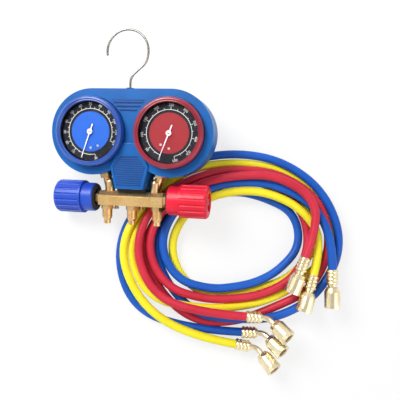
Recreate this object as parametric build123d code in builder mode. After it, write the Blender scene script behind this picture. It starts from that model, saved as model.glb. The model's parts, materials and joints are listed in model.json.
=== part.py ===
from build123d import *
import math
import os

os.makedirs("parts", exist_ok=True)

# ---------------------------------------------------------------- driving dimensions, in millimetres
# Clearances
fit = 0.05              # radial clearance of a turning or sliding fit
seat_gap = 0.3          # space between round pieces that only lie in one another
thin_gap = 0.1          # space between flat faces that turn past one another

# Valve bar: x runs along it, y towards the hook, z towards the dials
bar_length = 76.0
bar_height = 16.0
bar_depth = 18.0
bar_bevel = 4.5
bar_round = 2.0
pad_length = 45.0       # raised plate on the bar's face
pad_height = 10.0
pad_thick = 0.8
passage_radius = 2.0
seat_x = 22.0           # where each piston closes the passage
chamber_radius = 4.5
bonnet_hole_radius = 6.5
bonnet_hole_depth = 3.5

# Ports and hose hangers under the bar
port_spacing = 30.0
port_hex = 13.0
port_hex_length = 5.0
thread_radius = 5.55    # 7/16 inch flare thread
thread_length = 10.0
port_cone_length = 2.5
port_tip_radius = 3.9
port_tip_length = 4.5
port_bore_radius = 1.8
spigot_radius = 4.0
spigot_length = 3.0
hanger_offset = 9.6
hanger_radius = 2.2
hanger_head_radius = 2.7
hanger_head_length = 2.0
hanger_length = 5.0
hanger_z = -4.0

# Hand valves
bonnet_flange_radius = 8.5
bonnet_flange_length = 4.0
stem_radius = 3.0
stem_length = 46.0
piston_radius = 4.2
piston_length = 6.0
seal_radius = 3.0
seal_thick = 1.2
knob_start = 43.5
knob_length = 46.5
collar_length = 14.0
collar_radius = 16.5
grip_radius = 19.0
flute_count = 18
flute_radius = 1.7
grip_round = 4.0
collar_round = 2.0
knob_hollow_radius = 12.5
knob_hollow_depth = 8.0
knob_recess_radius = 11.0
knob_recess_depth = 3.0
knob_screw_radius = 1.1
knob_screw_length = 7.0
knob_screw_head = 3.4
knob_screw_head_length = 2.2
screw_hole_radius = 1.2
cross_width = 1.0
cross_length = 5.0

# Gauges
gauge_x = 45.5
gauge_y = 75.0
case_radius = 37.0
case_wall = 1.5
case_back = -10.0
case_front = 19.4
lens_thick = 2.0
bezel_radius = 39.0
bezel_opening = 34.0
bezel_back = 11.0
bezel_lip = 2.3
bezel_round = 2.2
bezel_gap = 0.6         # housing's clearance round a bezel
dial_radius = 33.5
dial_z = 15.0
dial_thick = 0.8
dial_screw_radius = 1.3
plate_width = 26.0
plate_height = 38.0
plate_y = -10.0
plate_thick = 1.2
post_radius = 1.6
post_inset = 2.2
lower_plate_z = 3.0
upper_plate_z = 9.6
gear_z = 5.4
gear_thick = 2.0
gear_module = 0.5
pinion_teeth = 10
sector_teeth_full = 80
sector_lead = 2         # teeth before the pinion at rest
sector_trail = 11       # teeth that the full sweep uses
gear_backlash = 0.12
arbor_radius = 0.8
pointer_z = 17.0
pointer_thick = 0.7
hub_radius = 3.2
coil_radius = 28.5      # Bourdon tube
coil_tube_radius = 2.6
coil_z = -2.0
coil_sweep = 255.0
block_width = 16.0      # brass block that carries the tube and the movement
block_height = 10.0
link_width = 1.6
stem_tube_radius = 5.0
stem_hex = 14.0
stem_hex_length = 9.0
foot_x = 27.0
foot_radius = 5.6
foot_length = 5.0

# Housing
lobe_radius = 48.5
shell_wall = 2.5
shell_round = 1.6
shell_front = 12.5
shell_back = -22.0
waist_y = 60.0          # lower edge of the web between the gauges
boss_front = 15.0
boss_back = -20.0
boss_bottom_y = 11.5
boss_bottom_half = 16.5
boss_wide_y = 37.5
boss_wide_half = 22.5
boss_top_y = 52.0
boss_top_half = 11.5
rib_depth = 0.9
panel_inset = 3.2
crest_top_y = 111.0
crest_bottom_y = 97.5
crest_top_half = 20.0
crest_bottom_half = 9.0
crest_x = -3.0
screw_radius = 1.6
screw_head_radius = 3.0
screw_post_radius = 4.2

# Hanging hook
hook_x = -5.0
wire_radius = 1.3
hook_start_y = 110.0
hook_bend_y = 138.0
loop_radius = 24.2
loop_x = -3.8           # from the hook's own stem
loop_y = 166.5
bush_radius = 4.6
bush_flange_radius = 6.2
bush_length = 12.0
bush_top = 2.0          # how far the bush stands above the housing

# Hoses and their fittings
hose_radius = 5.0
ferrule_radius = 6.4
ferrule_length = 17.0
ring_depth = 0.9
ring_gap = 1.4
neck_radius = 3.2
neck_length = 5.0
nut_radius = 9.0
nut_length = 23.0
nut_rim_length = 4.0
nut_shoulder = 5.0
nut_wall = 2.6
tail_radius = 5.1
tail_thick = 2.0
gasket_radius = 4.9
gasket_thick = 1.5
relief_depth = 0.3      # thread relief behind the nut's thread
bend_radius = 12.0
bend_angle = 50.0
bend_lead = 4.0
bend_rise = 45.0        # how far the bend plane is rolled up from flat

# How the set lies: blue knob on the ground, red side up on the hoses
lie_yaw = -3.3
lie_roll = 10.0
lie_pitch = 8.0

ON_BASE = (Align.CENTER, Align.CENTER, Align.MIN)
BLUE, YELLOW, RED = "blue", "yellow", "red"

pieces = {}             # set pieces in the valve bar's own frame
laid = {}               # hose pieces, already where they lie


def keep(name, part, group):
    """Name a finished piece and hold it until the set is laid down."""
    part.label = name
    group[name] = part


def stack(plane, steps, mode=Mode.ADD):
    """Coaxial cylinders along a plane's normal, each as (start, end, radius)."""
    for start, end, radius in steps:
        with Locations(plane.offset(start)):
            Cylinder(radius, end - start, align=ON_BASE, mode=mode)


def cone(plane, start, end, start_radius, end_radius, mode=Mode.ADD):
    """A cone along a plane's normal between two stations."""
    with Locations(plane.offset(start)):
        Cone(start_radius, end_radius, end - start, align=ON_BASE, mode=mode)


# ---------------------------------------------------------------- valve bar
bar_half = bar_length / 2
bar_top = bar_height / 2
bar_front = bar_depth / 2
port_xs = [-port_spacing, 0, port_spacing]
low_out = Plane(origin=(0, 0, 0), x_dir=(0, 1, 0), z_dir=(-1, 0, 0))
high_out = Plane(origin=(0, 0, 0), x_dir=(0, 1, 0), z_dir=(1, 0, 0))


def port_plane(x):
    """Plane at the foot of the bar under a port, looking away from the bar."""
    return Plane(origin=(x, -bar_top, 0), x_dir=(1, 0, 0), z_dir=(0, -1, 0))


def foot_plane(side):
    """Plane on top of the bar where a gauge is screwed in."""
    return Plane(origin=(side * foot_x, bar_top, 0), x_dir=(1, 0, 0), z_dir=(0, 1, 0))


with BuildPart() as manifold_bar:
    Box(bar_length, bar_height, bar_depth)
    front_edges = manifold_bar.edges().filter_by(Axis.X).group_by(Axis.Z)[-1]
    chamfer(front_edges.sort_by(Axis.Y)[-1], length=bar_bevel)
    fillet(manifold_bar.edges().filter_by(Axis.X).group_by(Axis.Z)[0], radius=bar_round)
    with Locations((0, -pad_height / 2 + bar_top - bar_bevel - 1, bar_front)):
        Box(pad_length, pad_height, pad_thick * 2)
    for out in (low_out, high_out):
        stack(out, [(-1, seat_x, passage_radius)], Mode.SUBTRACT)
        stack(out, [(seat_x, bar_half, chamber_radius)], Mode.SUBTRACT)
        stack(out, [(bar_half - bonnet_hole_depth, bar_half, bonnet_hole_radius)], Mode.SUBTRACT)
    for x in port_xs:
        socket_depth = spigot_length + seat_gap
        stack(port_plane(x), [(-socket_depth, 0, spigot_radius + seat_gap)], Mode.SUBTRACT)
        stack(port_plane(x), [(-bar_top, 0, port_bore_radius)], Mode.SUBTRACT)
    for side in (-1, 1):
        stack(foot_plane(side), [(-spigot_length - seat_gap, 0, spigot_radius + seat_gap)], Mode.SUBTRACT)
        stack(foot_plane(side), [(-bar_top, 0, port_bore_radius)], Mode.SUBTRACT)
keep("manifold_bar", manifold_bar.part, pieces)


def port(name, x):
    """A flare connector screwed into the bar: hexagon, thread, cone and sealing tip."""
    out = port_plane(x)
    thread_start = port_hex_length
    cone_start = thread_start + thread_length
    tip_start = cone_start + port_cone_length
    with BuildPart() as body:
        with BuildSketch(out):
            RegularPolygon(port_hex / 2, 6, major_radius=False)
        extrude(amount=port_hex_length)
        stack(out, [(-spigot_length, 0, spigot_radius), (thread_start, cone_start, thread_radius)])
        cone(out, cone_start, tip_start, thread_radius, port_tip_radius)
        stack(out, [(tip_start, tip_start + port_tip_length, port_tip_radius)])
        stack(out, [(-spigot_length, tip_start + port_tip_length, port_bore_radius)], Mode.SUBTRACT)
    keep(name, body.part, pieces)


for name, x in zip(("port_low", "port_service", "port_high"), port_xs):
    port(name, x)

with BuildPart() as hose_hangers:
    for x in port_xs:
        post = Plane(origin=(x + hanger_offset, -bar_top, hanger_z), x_dir=(1, 0, 0), z_dir=(0, -1, 0))
        stack(post, [(0, hanger_length, hanger_radius)])
        stack(post, [(hanger_length - hanger_head_length, hanger_length, hanger_head_radius)])
keep("hose_hangers", hose_hangers.part, pieces)


# ---------------------------------------------------------------- hand valves
def valve(side_name, out):
    """One hand valve: bonnet, stem, piston, seal, knob and the knob's screw."""
    bonnet_start = bar_half - bonnet_hole_depth
    bonnet_end = bar_half + bonnet_flange_length
    piston_end = seat_x + seal_thick + piston_length
    stem_end = piston_end + stem_length
    knob_end = knob_start + knob_length
    with BuildPart() as bonnet:
        stack(out, [(bonnet_start + thin_gap, bar_half, bonnet_hole_radius - seat_gap)])
        with BuildSketch(out.offset(bar_half)):
            RegularPolygon(bonnet_flange_radius, 6)
        extrude(amount=bonnet_flange_length)
        stack(out, [(bonnet_start, bonnet_end, stem_radius + fit)], Mode.SUBTRACT)
    keep(side_name + "_valve_bonnet", bonnet.part, pieces)

    with BuildPart() as seal:
        stack(out, [(seat_x + thin_gap, seat_x + seal_thick, seal_radius)])
    keep(side_name + "_valve_seal", seal.part, pieces)

    with BuildPart() as piston:
        stack(out, [(seat_x + seal_thick, piston_end, piston_radius)])
        ring = seat_x + seal_thick + piston_length / 2
        stack(out, [(ring - 0.8, ring + 0.8, piston_radius)], Mode.SUBTRACT)
        stack(out, [(ring - 0.8, ring + 0.8, piston_radius - 1)])
    keep(side_name + "_valve_piston", piston.part, pieces)

    with BuildPart() as stem:
        stack(out, [(piston_end + thin_gap, stem_end, stem_radius)])
        stack(out, [(stem_end - knob_screw_length - 1, stem_end, screw_hole_radius)], Mode.SUBTRACT)
    keep(side_name + "_valve_stem", stem.part, pieces)

    with BuildPart() as knob:
        stack(out, [(knob_start, knob_start + collar_length, collar_radius)])
        stack(out, [(knob_start + collar_length, knob_end, grip_radius)])
        rims = knob.edges().filter_by(GeomType.CIRCLE).sort_by(Axis((0, 0, 0), out.z_dir))
        fillet(rims[-1], radius=grip_round)
        fillet(rims[0], radius=collar_round)
        flute_start = knob_start + collar_length + collar_round
        with Locations(out.offset(flute_start)):
            with PolarLocations(grip_radius + flute_radius * 0.35, flute_count):
                Cylinder(flute_radius, knob_length, align=ON_BASE, mode=Mode.SUBTRACT)
        stack(out, [(knob_start, knob_start + knob_hollow_depth, knob_hollow_radius)], Mode.SUBTRACT)
        stack(out, [(knob_end - knob_recess_depth, knob_end, knob_recess_radius)], Mode.SUBTRACT)
        stack(out, [(knob_start, stem_end + thin_gap, stem_radius + fit)], Mode.SUBTRACT)
        stack(out, [(stem_end, knob_end, 1.8)], Mode.SUBTRACT)
    keep(side_name + "_knob", knob.part, pieces)

    head_start = knob_end - knob_recess_depth
    with BuildPart() as screw:
        stack(out, [(stem_end - knob_screw_length, head_start, knob_screw_radius),
                    (head_start, head_start + knob_screw_head_length, knob_screw_head)])
        with Locations(out.offset(head_start + knob_screw_head_length - 1)):
            Box(cross_width, cross_length, 2, align=ON_BASE, mode=Mode.SUBTRACT)
            Box(cross_length, cross_width, 2, align=ON_BASE, mode=Mode.SUBTRACT)
    keep(side_name + "_knob_screw", screw.part, pieces)


valve("low", low_out)
valve("high", high_out)

# ---------------------------------------------------------------- gauges
foot_drop = gauge_y - bar_top
lean = math.degrees(math.atan2(gauge_x - foot_x, foot_drop))
stem_reach = math.hypot(gauge_x - foot_x, foot_drop)
lens_z = case_front + seat_gap
bezel_front = lens_z + lens_thick + bezel_lip
pinion_radius = gear_module * pinion_teeth / 2
sector_radius = gear_module * sector_teeth_full / 2
pivot_y = -(pinion_radius + sector_radius)


def toothed(centre_y, radius, teeth, first, last, phase, backlash):
    """Tooth points of a gear in its own plane, from the first to the last tooth number."""
    points = []
    step = 360 / teeth
    root = radius - 1.2 * gear_module
    tip = radius + 0.8 * gear_module
    root_share = 0.30 - backlash / radius
    for number in range(first, last + 1):
        middle = phase + number * step
        profile = ((root, -root_share - 0.05), (tip, -0.13), (tip, 0.13), (root, root_share + 0.05))
        for reach, share in profile:
            angle = math.radians(middle + share * step)
            points.append((reach * math.cos(angle), centre_y + reach * math.sin(angle)))
    return points


def gauge_plane(side):
    """A gauge's own frame: turned so that its bottom points down its stem to the bar."""
    turn = math.radians(-side * lean)
    x_dir = (math.cos(turn), math.sin(turn), 0)
    return Plane(origin=(side * gauge_x, gauge_y, 0), x_dir=x_dir, z_dir=(0, 0, 1))


def gauge(side_name, side, zero_angle, pointer_length, tail_length):
    """One Bourdon gauge: case, socket, tube, movement, gears, pointer, dial, lens and bezel."""
    face = gauge_plane(side)

    def place(name, part):
        keep(side_name + "_" + name, face.location * part, pieces)

    with BuildPart() as case:
        stack(Plane.XY, [(case_back, case_front, case_radius)])
        stack(Plane.XY, [(case_back + case_wall, case_front, case_radius - case_wall)], Mode.SUBTRACT)
        down = Plane(origin=(0, 0, coil_z), x_dir=(1, 0, 0), z_dir=(0, -1, 0))
        stack(down, [(case_radius / 2, case_radius + 1, stem_tube_radius + seat_gap)], Mode.SUBTRACT)
    place("gauge_case", case.part)

    with BuildPart() as socket:
        down = Plane(origin=(0, 0, coil_z), x_dir=(1, 0, 0), z_dir=(0, -1, 0))
        with Locations((0, -coil_radius + 1, coil_z)):
            Box(block_width, block_height, 2 * (lower_plate_z - coil_z))
        stack(down, [(coil_radius, stem_reach - foot_length, stem_tube_radius)])
        with BuildSketch(down.offset(stem_reach - foot_length - 12 - stem_hex_length)):
            RegularPolygon(stem_hex / 2, 6, major_radius=False)
        extrude(amount=stem_hex_length)
    lean_stem = face.location * socket.part
    with BuildPart() as foot:
        add(lean_stem)
        stack(foot_plane(side), [(-spigot_length, 0, spigot_radius)])
        stack(foot_plane(side), [(0, foot_length + 5, foot_radius)])
        with Locations(foot_plane(side).offset(foot_length + 5)):
            Sphere(foot_radius)
    keep(side_name + "_gauge_socket", foot.part, pieces)

    tube_start = -math.degrees(math.acos((block_width / 2 + 2 * seat_gap) / coil_radius))
    tip_angle = math.radians(tube_start + coil_sweep)
    tip = (coil_radius * math.cos(tip_angle), coil_radius * math.sin(tip_angle))
    with BuildPart() as tube:
        with BuildSketch(Plane.XZ):
            with Locations((coil_radius, coil_z)):
                Ellipse(coil_tube_radius * 0.7, coil_tube_radius)
        revolve(axis=Axis.Z, revolution_arc=coil_sweep)
    bent = Rot(0, 0, tube_start) * tube.part
    with BuildPart() as bourdon:
        add(bent)
        link_top = upper_plate_z - 0.5
        with Locations((tip[0], tip[1], coil_z)):
            Cylinder(1.2, link_top - coil_z, align=ON_BASE)
        with BuildSketch(Plane.XY.offset(gear_z + gear_thick + seat_gap)):
            with BuildLine():
                Polyline(tip, (-9.5, pivot_y - 7))
            trace(line_width=link_width)
        extrude(amount=link_top - gear_z - gear_thick - seat_gap)
    place("bourdon_tube", bourdon.part)

    with BuildPart() as movement:
        post_x = plate_width / 2 - post_inset
        high_y = plate_y + plate_height / 2 - post_inset
        low_y = plate_y - plate_height / 2 + post_inset
        posts = [(-post_x, high_y, dial_z), (post_x, high_y, dial_z),
                 (post_x, low_y, upper_plate_z + 0.5), (-post_x, pivot_y + post_inset, upper_plate_z + 0.5)]
        for x, y, top in posts:
            with Locations((x, y, lower_plate_z + 0.5)):
                Cylinder(post_radius, top - lower_plate_z - 0.5, align=ON_BASE)
        for base in (lower_plate_z, upper_plate_z):
            with Locations((0, plate_y, base)):
                Box(plate_width, plate_height, plate_thick, align=ON_BASE)
        for y in (0, pivot_y):
            with Locations((0, y, lower_plate_z - 1)):
                Cylinder(arbor_radius + fit, 12, align=ON_BASE, mode=Mode.SUBTRACT)
    place("movement", movement.part)

    with BuildPart() as sector:
        half_step = 180 / sector_teeth_full
        teeth = toothed(pivot_y, sector_radius, sector_teeth_full, -sector_trail, sector_lead - 1,
                        90 + half_step, gear_backlash)
        with BuildSketch(Plane.XY.offset(gear_z)):
            with BuildLine():
                Polyline(*teeth, (-3, pivot_y), (3, pivot_y), close=True)
            make_face()
            with Locations((0, pivot_y)):
                Circle(3.2)
            with BuildLine():
                Polyline((0, pivot_y), (-7.5, pivot_y - 5.5))
            trace(line_width=2.4)
        extrude(amount=gear_thick)
        with Locations((0, pivot_y, lower_plate_z)):
            Cylinder(arbor_radius, upper_plate_z + plate_thick - lower_plate_z, align=ON_BASE)
    place("sector_gear", sector.part)

    with BuildPart() as pinion:
        phase = -90.0
        teeth = toothed(0, pinion_radius, pinion_teeth, 0, pinion_teeth - 1, phase, gear_backlash)
        with BuildSketch(Plane.XY.offset(gear_z)):
            Polygon(*teeth, align=None)
        extrude(amount=gear_thick)
        with Locations((0, 0, lower_plate_z)):
            Cylinder(arbor_radius, pointer_z + 1.5 - lower_plate_z, align=ON_BASE)
    place("pinion", pinion.part)

    with BuildPart() as dial:
        stack(Plane.XY, [(dial_z, dial_z + dial_thick, dial_radius)])
        stack(Plane.XY, [(dial_z, dial_z + dial_thick, arbor_radius + 0.8)], Mode.SUBTRACT)
    place("dial", dial.part)

    with BuildPart() as pointer:
        with BuildSketch(Plane.XY.offset(pointer_z)):
            with BuildLine():
                Polyline((-tail_length, -1.1), (0, -1.3), (pointer_length, -0.35), (pointer_length, 0.35),
                         (0, 1.3), (-tail_length, 1.1), close=True)
            make_face()
        extrude(amount=pointer_thick)
        stack(Plane.XY, [(pointer_z, pointer_z + 2, hub_radius)])
        stack(Plane.XY, [(pointer_z - 1, pointer_z + 1.6, arbor_radius + fit)], Mode.SUBTRACT)
    place("pointer", Rot(0, 0, zero_angle) * pointer.part)

    with BuildPart() as lens:
        stack(Plane.XY, [(lens_z, lens_z + lens_thick, case_radius)])
    place("lens", lens.part)

    with BuildPart() as bezel:
        stack(Plane.XY, [(bezel_back, bezel_front, bezel_radius)])
        rim = bezel.edges().filter_by(GeomType.CIRCLE).sort_by(Axis.Z)[-1]
        fillet(rim, radius=bezel_round)
        seat_top = lens_z + lens_thick + thin_gap
        stack(Plane.XY, [(bezel_back, seat_top, case_radius + seat_gap)], Mode.SUBTRACT)
        cone(Plane.XY, seat_top, bezel_front, bezel_opening - 1, bezel_opening + 0.8, Mode.SUBTRACT)
    place("bezel", bezel.part)


low_zero = -124.5       # the zero mark, from the gauge's own x axis
high_zero = -95.3
gauge("low", -1, low_zero, 31.0, 10.0)
gauge("high", 1, high_zero, 28.5, 11.0)

dial_screw_spots = {-1: [(0.7, -18.2), (9.0, -15.7)], 1: [(-9.0, -12.6), (0.3, -16.7)]}
with BuildPart() as dial_screws:
    for side, spots in dial_screw_spots.items():
        for x, y in spots:
            top = Plane(origin=(side * gauge_x + x, gauge_y + y, 0), x_dir=(1, 0, 0), z_dir=(0, 0, 1))
            head = dial_z + dial_thick
            stack(top, [(head, head + 0.7, dial_screw_radius)])
keep("dial_screws", dial_screws.part, pieces)

# ---------------------------------------------------------------- housing
top_y = gauge_y + lobe_radius
screw_spots = [(-gauge_x - 0.62 * lobe_radius, gauge_y + 0.62 * lobe_radius),
               (gauge_x + 0.62 * lobe_radius, gauge_y + 0.62 * lobe_radius),
               (-14.0, boss_wide_y + 4.0), (14.0, boss_wide_y + 4.0)]
boss_points = [(-boss_bottom_half, boss_bottom_y), (boss_bottom_half, boss_bottom_y),
               (boss_wide_half, boss_wide_y), (boss_top_half, boss_top_y + 12),
               (-boss_top_half, boss_top_y + 12), (-boss_wide_half, boss_wide_y)]


def outline(inset):
    """The housing's outline, drawn in by a wall: two round lobes and the web between them."""
    for side in (-1, 1):
        with Locations((side * gauge_x, gauge_y)):
            Circle(lobe_radius - inset)
    web_height = top_y - waist_y
    with Locations((0, waist_y + web_height / 2)):
        Rectangle(2 * gauge_x, web_height - 2 * inset)


def shell_block(start, end, boss_end, inset):
    """Both the outline and the boss as one block between two heights."""
    with BuildSketch(Plane.XY.offset(start)) as plan:
        outline(inset)
    extrude(plan.sketch, amount=end - start)
    with BuildSketch(Plane.XY.offset(start)) as boss_plan:
        Polygon(*boss_points, align=None)
        if inset:
            offset(amount=-inset, kind=Kind.INTERSECTION, mode=Mode.REPLACE)
    extrude(boss_plan.sketch, amount=boss_end - start)


def stem_notches():
    """Room for both gauge stems where they leave the housing."""
    for side in (-1, 1):
        face = gauge_plane(side)
        down = Plane(origin=(side * gauge_x, gauge_y, coil_z), x_dir=face.x_dir, z_dir=-face.y_dir)
        stack(down, [(case_radius - 6, stem_reach, stem_tube_radius + 3.5)], Mode.SUBTRACT)


hook_hole = Plane(origin=(hook_x, top_y, 0), x_dir=(1, 0, 0), z_dir=(0, 1, 0))

with BuildPart() as housing_front:
    shell_block(thin_gap / 2, shell_front, boss_front, 0)
    front_rims = housing_front.faces().sort_by(Axis.Z)[-1].edges()
    fillet(front_rims, radius=shell_round)
    with BuildSketch(Plane.XY) as inside:
        outline(shell_wall)
    extrude(inside.sketch, amount=shell_front - shell_wall, mode=Mode.SUBTRACT)
    with BuildSketch(Plane.XY) as boss_inside:
        Polygon(*boss_points, align=None)
        offset(amount=-shell_wall, kind=Kind.INTERSECTION, mode=Mode.REPLACE)
    extrude(boss_inside.sketch, amount=boss_front - 1.6 * shell_wall, mode=Mode.SUBTRACT)
    for side in (-1, 1):
        with Locations((side * gauge_x, gauge_y, 0)):
            Cylinder(bezel_radius + bezel_gap, 2 * case_front, mode=Mode.SUBTRACT)
    with BuildSketch(Plane.XY.offset(boss_front)) as panel:
        Polygon((-boss_bottom_half, boss_bottom_y), (boss_bottom_half, boss_bottom_y),
                (boss_wide_half, boss_wide_y), (boss_top_half, boss_top_y),
                (-boss_top_half, boss_top_y), (-boss_wide_half, boss_wide_y), align=None)
        offset(amount=-panel_inset, kind=Kind.INTERSECTION, mode=Mode.REPLACE)
    extrude(panel.sketch, amount=-rib_depth, mode=Mode.SUBTRACT)
    with BuildSketch(Plane.XY.offset(shell_front)) as crest:
        with BuildLine():
            Polyline((crest_x - crest_bottom_half, crest_bottom_y),
                     (crest_x + crest_bottom_half, crest_bottom_y),
                     (crest_x + crest_top_half, crest_top_y),
                     (crest_x - crest_top_half, crest_top_y), close=True)
        make_face()
    extrude(crest.sketch, amount=-rib_depth, mode=Mode.SUBTRACT)
    stem_notches()
    for x, y in screw_spots:
        stack(Plane(origin=(x, y, 0)), [(thin_gap / 2, shell_front - shell_wall, screw_post_radius)])
        stack(Plane(origin=(x, y, 0)), [(0, shell_front - shell_wall - 1, screw_radius)], Mode.SUBTRACT)
    stack(hook_hole, [(-bush_length - 4, 1, bush_radius + seat_gap)], Mode.SUBTRACT)
keep("housing_front", housing_front.part, pieces)

with BuildPart() as housing_back:
    with BuildSketch(Plane.XY.offset(-thin_gap / 2)) as plan:
        outline(0)
    extrude(plan.sketch, amount=shell_back)
    with BuildSketch(Plane.XY.offset(-thin_gap / 2)) as boss_plan:
        Polygon(*boss_points, align=None)
    extrude(boss_plan.sketch, amount=boss_back)
    back_rims = housing_back.faces().sort_by(Axis.Z)[0].edges()
    fillet(back_rims, radius=shell_round)
    with BuildSketch(Plane.XY.offset(0)) as hollow:
        outline(shell_wall)
    extrude(hollow.sketch, amount=shell_back + shell_wall, mode=Mode.SUBTRACT)
    with BuildSketch(Plane.XY.offset(0)) as boss_hollow:
        Polygon(*boss_points, align=None)
        offset(amount=-shell_wall, kind=Kind.INTERSECTION, mode=Mode.REPLACE)
    extrude(boss_hollow.sketch, amount=boss_back + shell_wall, mode=Mode.SUBTRACT)
    stem_notches()
    floor_z = shell_back + shell_wall
    for side in (-1, 1):
        for degrees in (90, 210, 330):
            reach = case_radius - 9
            x = side * gauge_x + reach * math.cos(math.radians(degrees))
            y = gauge_y + reach * math.sin(math.radians(degrees))
            stack(Plane(origin=(x, y, 0)), [(floor_z - 1, case_back - seat_gap, 4)])
    for x, y in screw_spots:
        post_foot = floor_z - 1 if y > waist_y else boss_back + 1
        stack(Plane(origin=(x, y, 0)), [(post_foot, -thin_gap / 2, screw_post_radius)])
        stack(Plane(origin=(x, y, 0)), [(shell_back - 1, 0, screw_radius + seat_gap)], Mode.SUBTRACT)
        stack(Plane(origin=(x, y, 0)), [(shell_back - 1, post_foot + 3, screw_head_radius + seat_gap)],
              Mode.SUBTRACT)
    stack(hook_hole, [(-bush_length - 4, 1, bush_radius + seat_gap)], Mode.SUBTRACT)
keep("housing_back", housing_back.part, pieces)

with BuildPart() as housing_screws:
    for x, y in screw_spots:
        post_foot = floor_z - 1 if y > waist_y else boss_back + 1
        seat = post_foot + 3 - thin_gap
        stack(Plane(origin=(x, y, 0)), [(seat - 2, seat, screw_head_radius)])
        stack(Plane(origin=(x, y, 0)), [(seat, 8, screw_radius - 0.1)])
keep("housing_screws", housing_screws.part, pieces)

# ---------------------------------------------------------------- hook
with BuildPart() as hook_bush:
    bush_start = bush_top - bush_length
    stack(hook_hole, [(bush_start, bush_top, bush_radius)])
    stack(hook_hole, [(-shell_wall - seat_gap - 2.5, -shell_wall - seat_gap, bush_flange_radius)])
    stack(hook_hole, [(bush_start, bush_top, wire_radius + fit)], Mode.SUBTRACT)
keep("hook_bush", hook_bush.part, pieces)

loop_start = -10.0
loop_sweep = 198.0
start_angle = math.radians(loop_start)
loop_in = (loop_x + loop_radius * math.cos(start_angle), loop_y + loop_radius * math.sin(start_angle))
lead = (loop_in[0] + 8 * math.sin(start_angle), loop_in[1] - 8 * math.cos(start_angle))
with BuildPart() as hook:
    with BuildLine(Plane(origin=(hook_x, 0, 0))) as wire_line:
        FilletPolyline((0, hook_start_y), (0, hook_bend_y), lead, loop_in, radius=[14, 16])
        CenterArc((loop_x, loop_y), loop_radius, loop_start, loop_sweep)
    with BuildSketch(Plane(origin=(hook_x, hook_start_y, 0), z_dir=(0, 1, 0))):
        Circle(wire_radius)
    sweep(path=wire_line.wire())
    with Locations(Location(wire_line.wire() @ 1)):
        Sphere(wire_radius)
    stack(hook_hole, [(hook_start_y - top_y - 2.5, bush_start - thin_gap, 3.2)])
keep("hook", hook.part, pieces)

# ---------------------------------------------------------------- laying the set down
tilt = Rot(0, 0, lie_yaw) * Rot(0, -lie_roll, 0) * Rot(lie_pitch, 0, 0)
span = Compound([tilt * piece for piece in pieces.values()]).bounding_box()
home = Pos(-span.center().X, -span.center().Y, -span.min.Z)
print("bar centre", [round(v, 3) for v in (home * tilt).position])

# ---------------------------------------------------------------- hoses
routes = {
    BLUE: [
        (124.5, -237.15, 8), (60.5, -234.45, 6), (-8.5, -208.15, 6), (-28, -134.65, 6), (10, -70.15, 7),
        (59.5, -31.15, 9.5), (119, -22.15, 12), (177, -33.65, 14.5), (225.5, -72.15, 16.5),
        (245.5, -134.65, 16.5), (215.5, -191.65, 16.5), (168, -219.15, 15.9), (119.5, -220.65, 17),
        (71.5, -216.65, 10.2), (36, -182.15, 7), (18.5, -135.15, 6.5), (39, -91.15, 6), (84, -75.15, 5.5),
        (119, -68.15, 6), (153, -76.15, 6.5), (189.5, -94.65, 7.5), (196, -135.15, 8.5),
        (169.5, -164.15, 9.5), (143, -177.65, 11.5), (118, -183.15, 13), (88, -185.65, 15),
        (47.5, -174.65, 17), (26.5, -134.65, 16.5), (43, -91.15, 16.5), (81, -66.85, 16.5),
        (119, -58.15, 18), (161.5, -60.65, 20.5), (207, -83.65, 22.5), (228.5, -122.65, 29.3),
        (228, -161.15, 29),
    ],
    YELLOW: [
        (116.5, -250.15, 12.5), (58, -238.65, 16.5), (2, -200.65, 16), (-23, -134.65, 15.5),
        (14, -75.15, 15), (64, -40.65, 13), (119, -33.65, 10.5), (173, -41.65, 8.5), (222, -75.15, 6.5),
        (239.5, -133.65, 6.5), (196.5, -179.15, 7), (156, -199.65, 10), (118.5, -206.65, 14),
        (75.5, -207.65, 20.9), (12, -196.15, 15), (-13, -134.65, 12.5), (22, -81.15, 9.5),
        (66.5, -50.65, 8), (115, -43.15, 7), (168.5, -50.65, 6), (207, -86.15, 5.5), (217, -136.15, 5.5),
        (184, -173.65, 5.5), (148, -185.65, 5.5), (118.5, -192.65, 5.5), (84, -194.15, 6),
        (52, -174.15, 6), (38.5, -135.15, 9.5), (54, -98.65, 12.5), (84, -76.65, 15.5),
        (118.5, -68.65, 18), (155, -70.65, 20.5), (195.5, -90.15, 22.5), (219, -127.15, 24.5),
        (206.5, -167.65, 28),
    ],
    RED: [
        (128, -215.15, 28), (72.5, -210.15, 31.4), (19.5, -190.65, 25.5), (-3, -134.65, 22.5),
        (22, -78.65, 20), (70, -51.15, 18), (119, -42.65, 17), (170, -48.15, 16.5), (218, -78.65, 16),
        (231, -134.65, 19), (208, -186.15, 13.3), (164, -208.15, 8), (117.5, -226.15, 5.5),
        (67, -225.15, 5.5), (24.5, -188.65, 5.5), (4, -135.15, 5.5), (31, -85.65, 6), (74, -59.65, 7),
        (118, -54.15, 8), (163, -61.15, 9.5), (198.5, -90.65, 11.5), (206, -135.65, 13.9),
        (186.5, -172.65, 16.2), (151, -191.15, 16), (118, -196.65, 16.5), (80, -197.35, 17),
        (33.5, -182.65, 17.8), (10.5, -134.65, 17), (32.5, -84.15, 16), (74.5, -60.15, 22),
        (117.5, -51.15, 26.5), (166, -51.65, 30), (209, -80.65, 34), (207.5, -119.15, 34),
        (196.5, -147.15, 33),
    ],
}


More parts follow.
